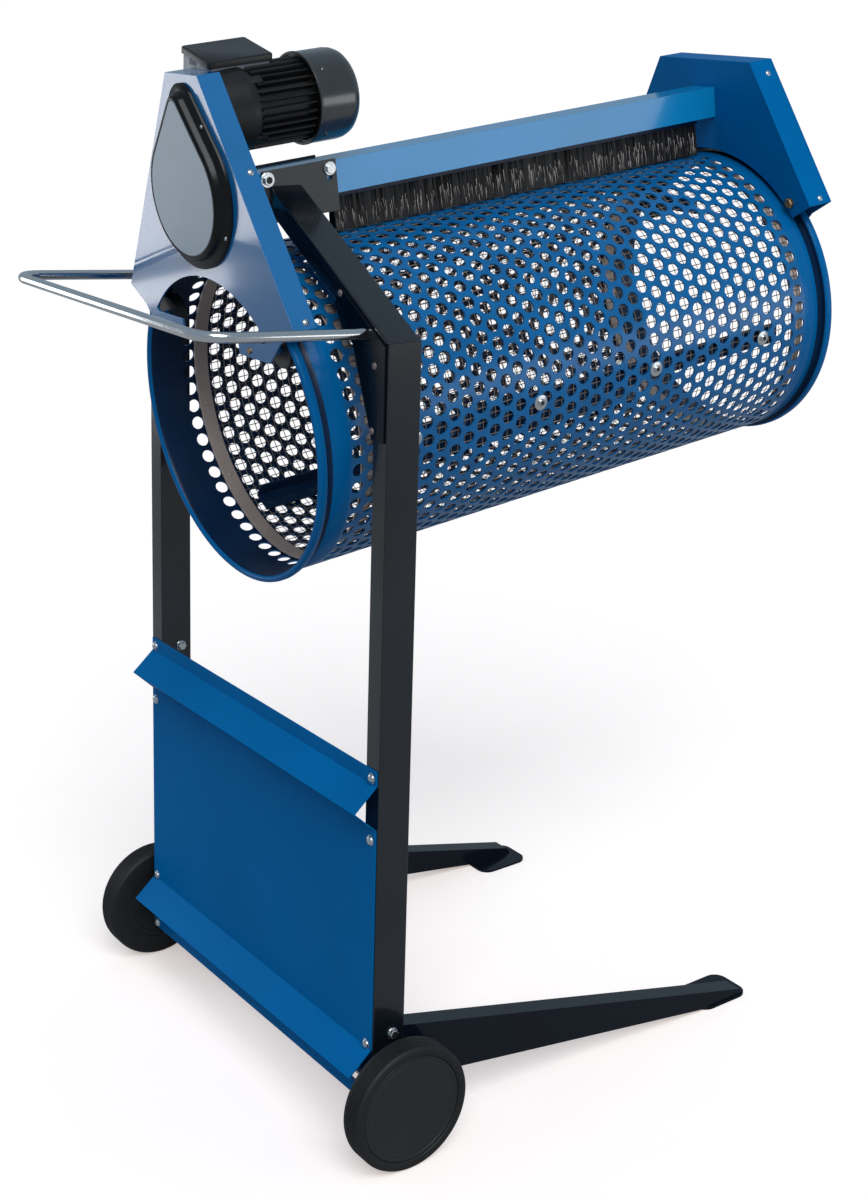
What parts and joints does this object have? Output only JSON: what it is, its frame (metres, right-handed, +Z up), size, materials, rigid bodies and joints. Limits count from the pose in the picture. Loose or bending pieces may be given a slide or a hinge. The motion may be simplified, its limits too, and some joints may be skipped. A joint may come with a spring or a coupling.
{
  "type": "trommel screen",
  "caption": "Perforated screen drum that turns under a tilting motor-driven beam, on a two-wheeled stand with feet and a push handle.",
  "frame": {"origin": "on the floor below the middle of the whole machine", "axes": "+X along the drum towards its raised end, +Y across the machine, away from the pictured side, +Z up"},
  "size_m": [1.1318, 0.744, 1.4714],
  "materials": {
    "frame_black": "gloss",
    "blue_paint": "gloss",
    "screen_paint": "gloss",
    "hoop_steel": "satin",
    "bar_paint": "gloss",
    "zinc": "satin",
    "handle_chrome": "gloss",
    "motor_black": "satin",
    "cover_plastic": "satin",
    "bristle": "matte",
    "tyre_rubber": "matte",
    "hub_plastic": "satin",
    "roller_plastic": "satin",
    "drive_rubber": "matte"
  },
  "bodies": {
    "frame": {"leg_near": "frame_black", "leg_far": "frame_black", "slant_near": "frame_black", "slant_far": "frame_black", "knee_plate_near": "frame_black", "knee_plate_far": "frame_black", "foot_near": "frame_black", "foot_far": "frame_black", "pivot_plate_near": "frame_black", "pivot_plate_far": "frame_black", "pivot_bolt": "zinc", "front_panel": "blue_paint", "handle": "handle_chrome", "axle": "zinc"},
    "head": {"beam": "blue_paint", "near_bracket": "blue_paint", "near_back_plate": "blue_paint", "far_bracket": "blue_paint", "far_end_plate": "blue_paint", "drive_cover": "cover_plastic", "motor_body": "motor_black", "motor_cowl": "motor_black", "terminal_box": "motor_black", "brush_holder": "zinc", "brush": "bristle", "clamp_bolt": "zinc"},
    "drum": {"near_ring": "blue_paint", "far_ring": "blue_paint", "screen_shell": "screen_paint", "hoop_near": "hoop_steel", "hoop_far": "hoop_steel", "lifter_bar_1": "bar_paint", "lifter_bar_2": "bar_paint", "lifter_bar_3": "bar_paint"},
    "wheel_near": {"tyre_near": "tyre_rubber", "hub_near": "hub_plastic"},
    "wheel_far": {"tyre_far": "tyre_rubber", "hub_far": "hub_plastic"},
    "drive": {"drive_wheel": "drive_rubber"},
    "roller_near_near": {"roller_near_near": "roller_plastic"},
    "roller_near_far": {"roller_near_far": "roller_plastic"},
    "roller_far_near": {"roller_far_near": "roller_plastic"},
    "roller_far_far": {"roller_far_far": "roller_plastic"}
  },
  "joints": [
    {"name": "head_tilt", "type": "hinge", "parent": "frame", "child": "head", "pos_m": [-0.32359, 0, 1.28999], "axis": [0, 1, 0], "range_deg": [0, 7]},
    {"name": "drum_spin", "type": "hinge", "parent": "head", "child": "drum", "pos_m": [-0.37903, 0, 0.96798], "axis": [0.9957, 0, 0.0925], "continuous": true},
    {"name": "drive_spin", "type": "hinge", "parent": "head", "child": "drive", "pos_m": [-0.4079, 0, 1.27864], "axis": [0.9957, 0, 0.0925], "continuous": true},
    {"name": "roller_near_near_spin", "type": "hinge", "parent": "head", "child": "roller_near_near", "pos_m": [-0.39044, -0.15, 1.09079], "axis": [0.9957, 0, 0.0925], "continuous": true},
    {"name": "roller_near_far_spin", "type": "hinge", "parent": "head", "child": "roller_near_far", "pos_m": [-0.39044, 0.15, 1.09079], "axis": [0.9957, 0, 0.0925], "continuous": true},
    {"name": "roller_far_near_spin", "type": "hinge", "parent": "head", "child": "roller_far_near", "pos_m": [-0.39044, -0.15, 1.09079], "axis": [0.9957, 0, 0.0925], "continuous": true},
    {"name": "roller_far_far_spin", "type": "hinge", "parent": "head", "child": "roller_far_far", "pos_m": [-0.39044, 0.15, 1.09079], "axis": [0.9957, 0, 0.0925], "continuous": true},
    {"name": "wheel_near_spin", "type": "hinge", "parent": "frame", "child": "wheel_near", "pos_m": [-0.33764, 0, 0.09], "axis": [0, 1, 0], "continuous": true},
    {"name": "wheel_far_spin", "type": "hinge", "parent": "frame", "child": "wheel_far", "pos_m": [-0.33764, 0, 0.09], "axis": [0, 1, 0], "continuous": true}
  ],
  "couplings": [
    {"joint": "drive_spin", "follows": "drum_spin", "ratio": -2.769},
    {"joint": "roller_near_near_spin", "follows": "drum_spin", "ratio": 8.78},
    {"joint": "roller_near_far_spin", "follows": "drum_spin", "ratio": 8.78},
    {"joint": "roller_far_near_spin", "follows": "drum_spin", "ratio": 8.78},
    {"joint": "roller_far_far_spin", "follows": "drum_spin", "ratio": 8.78}
  ]
}
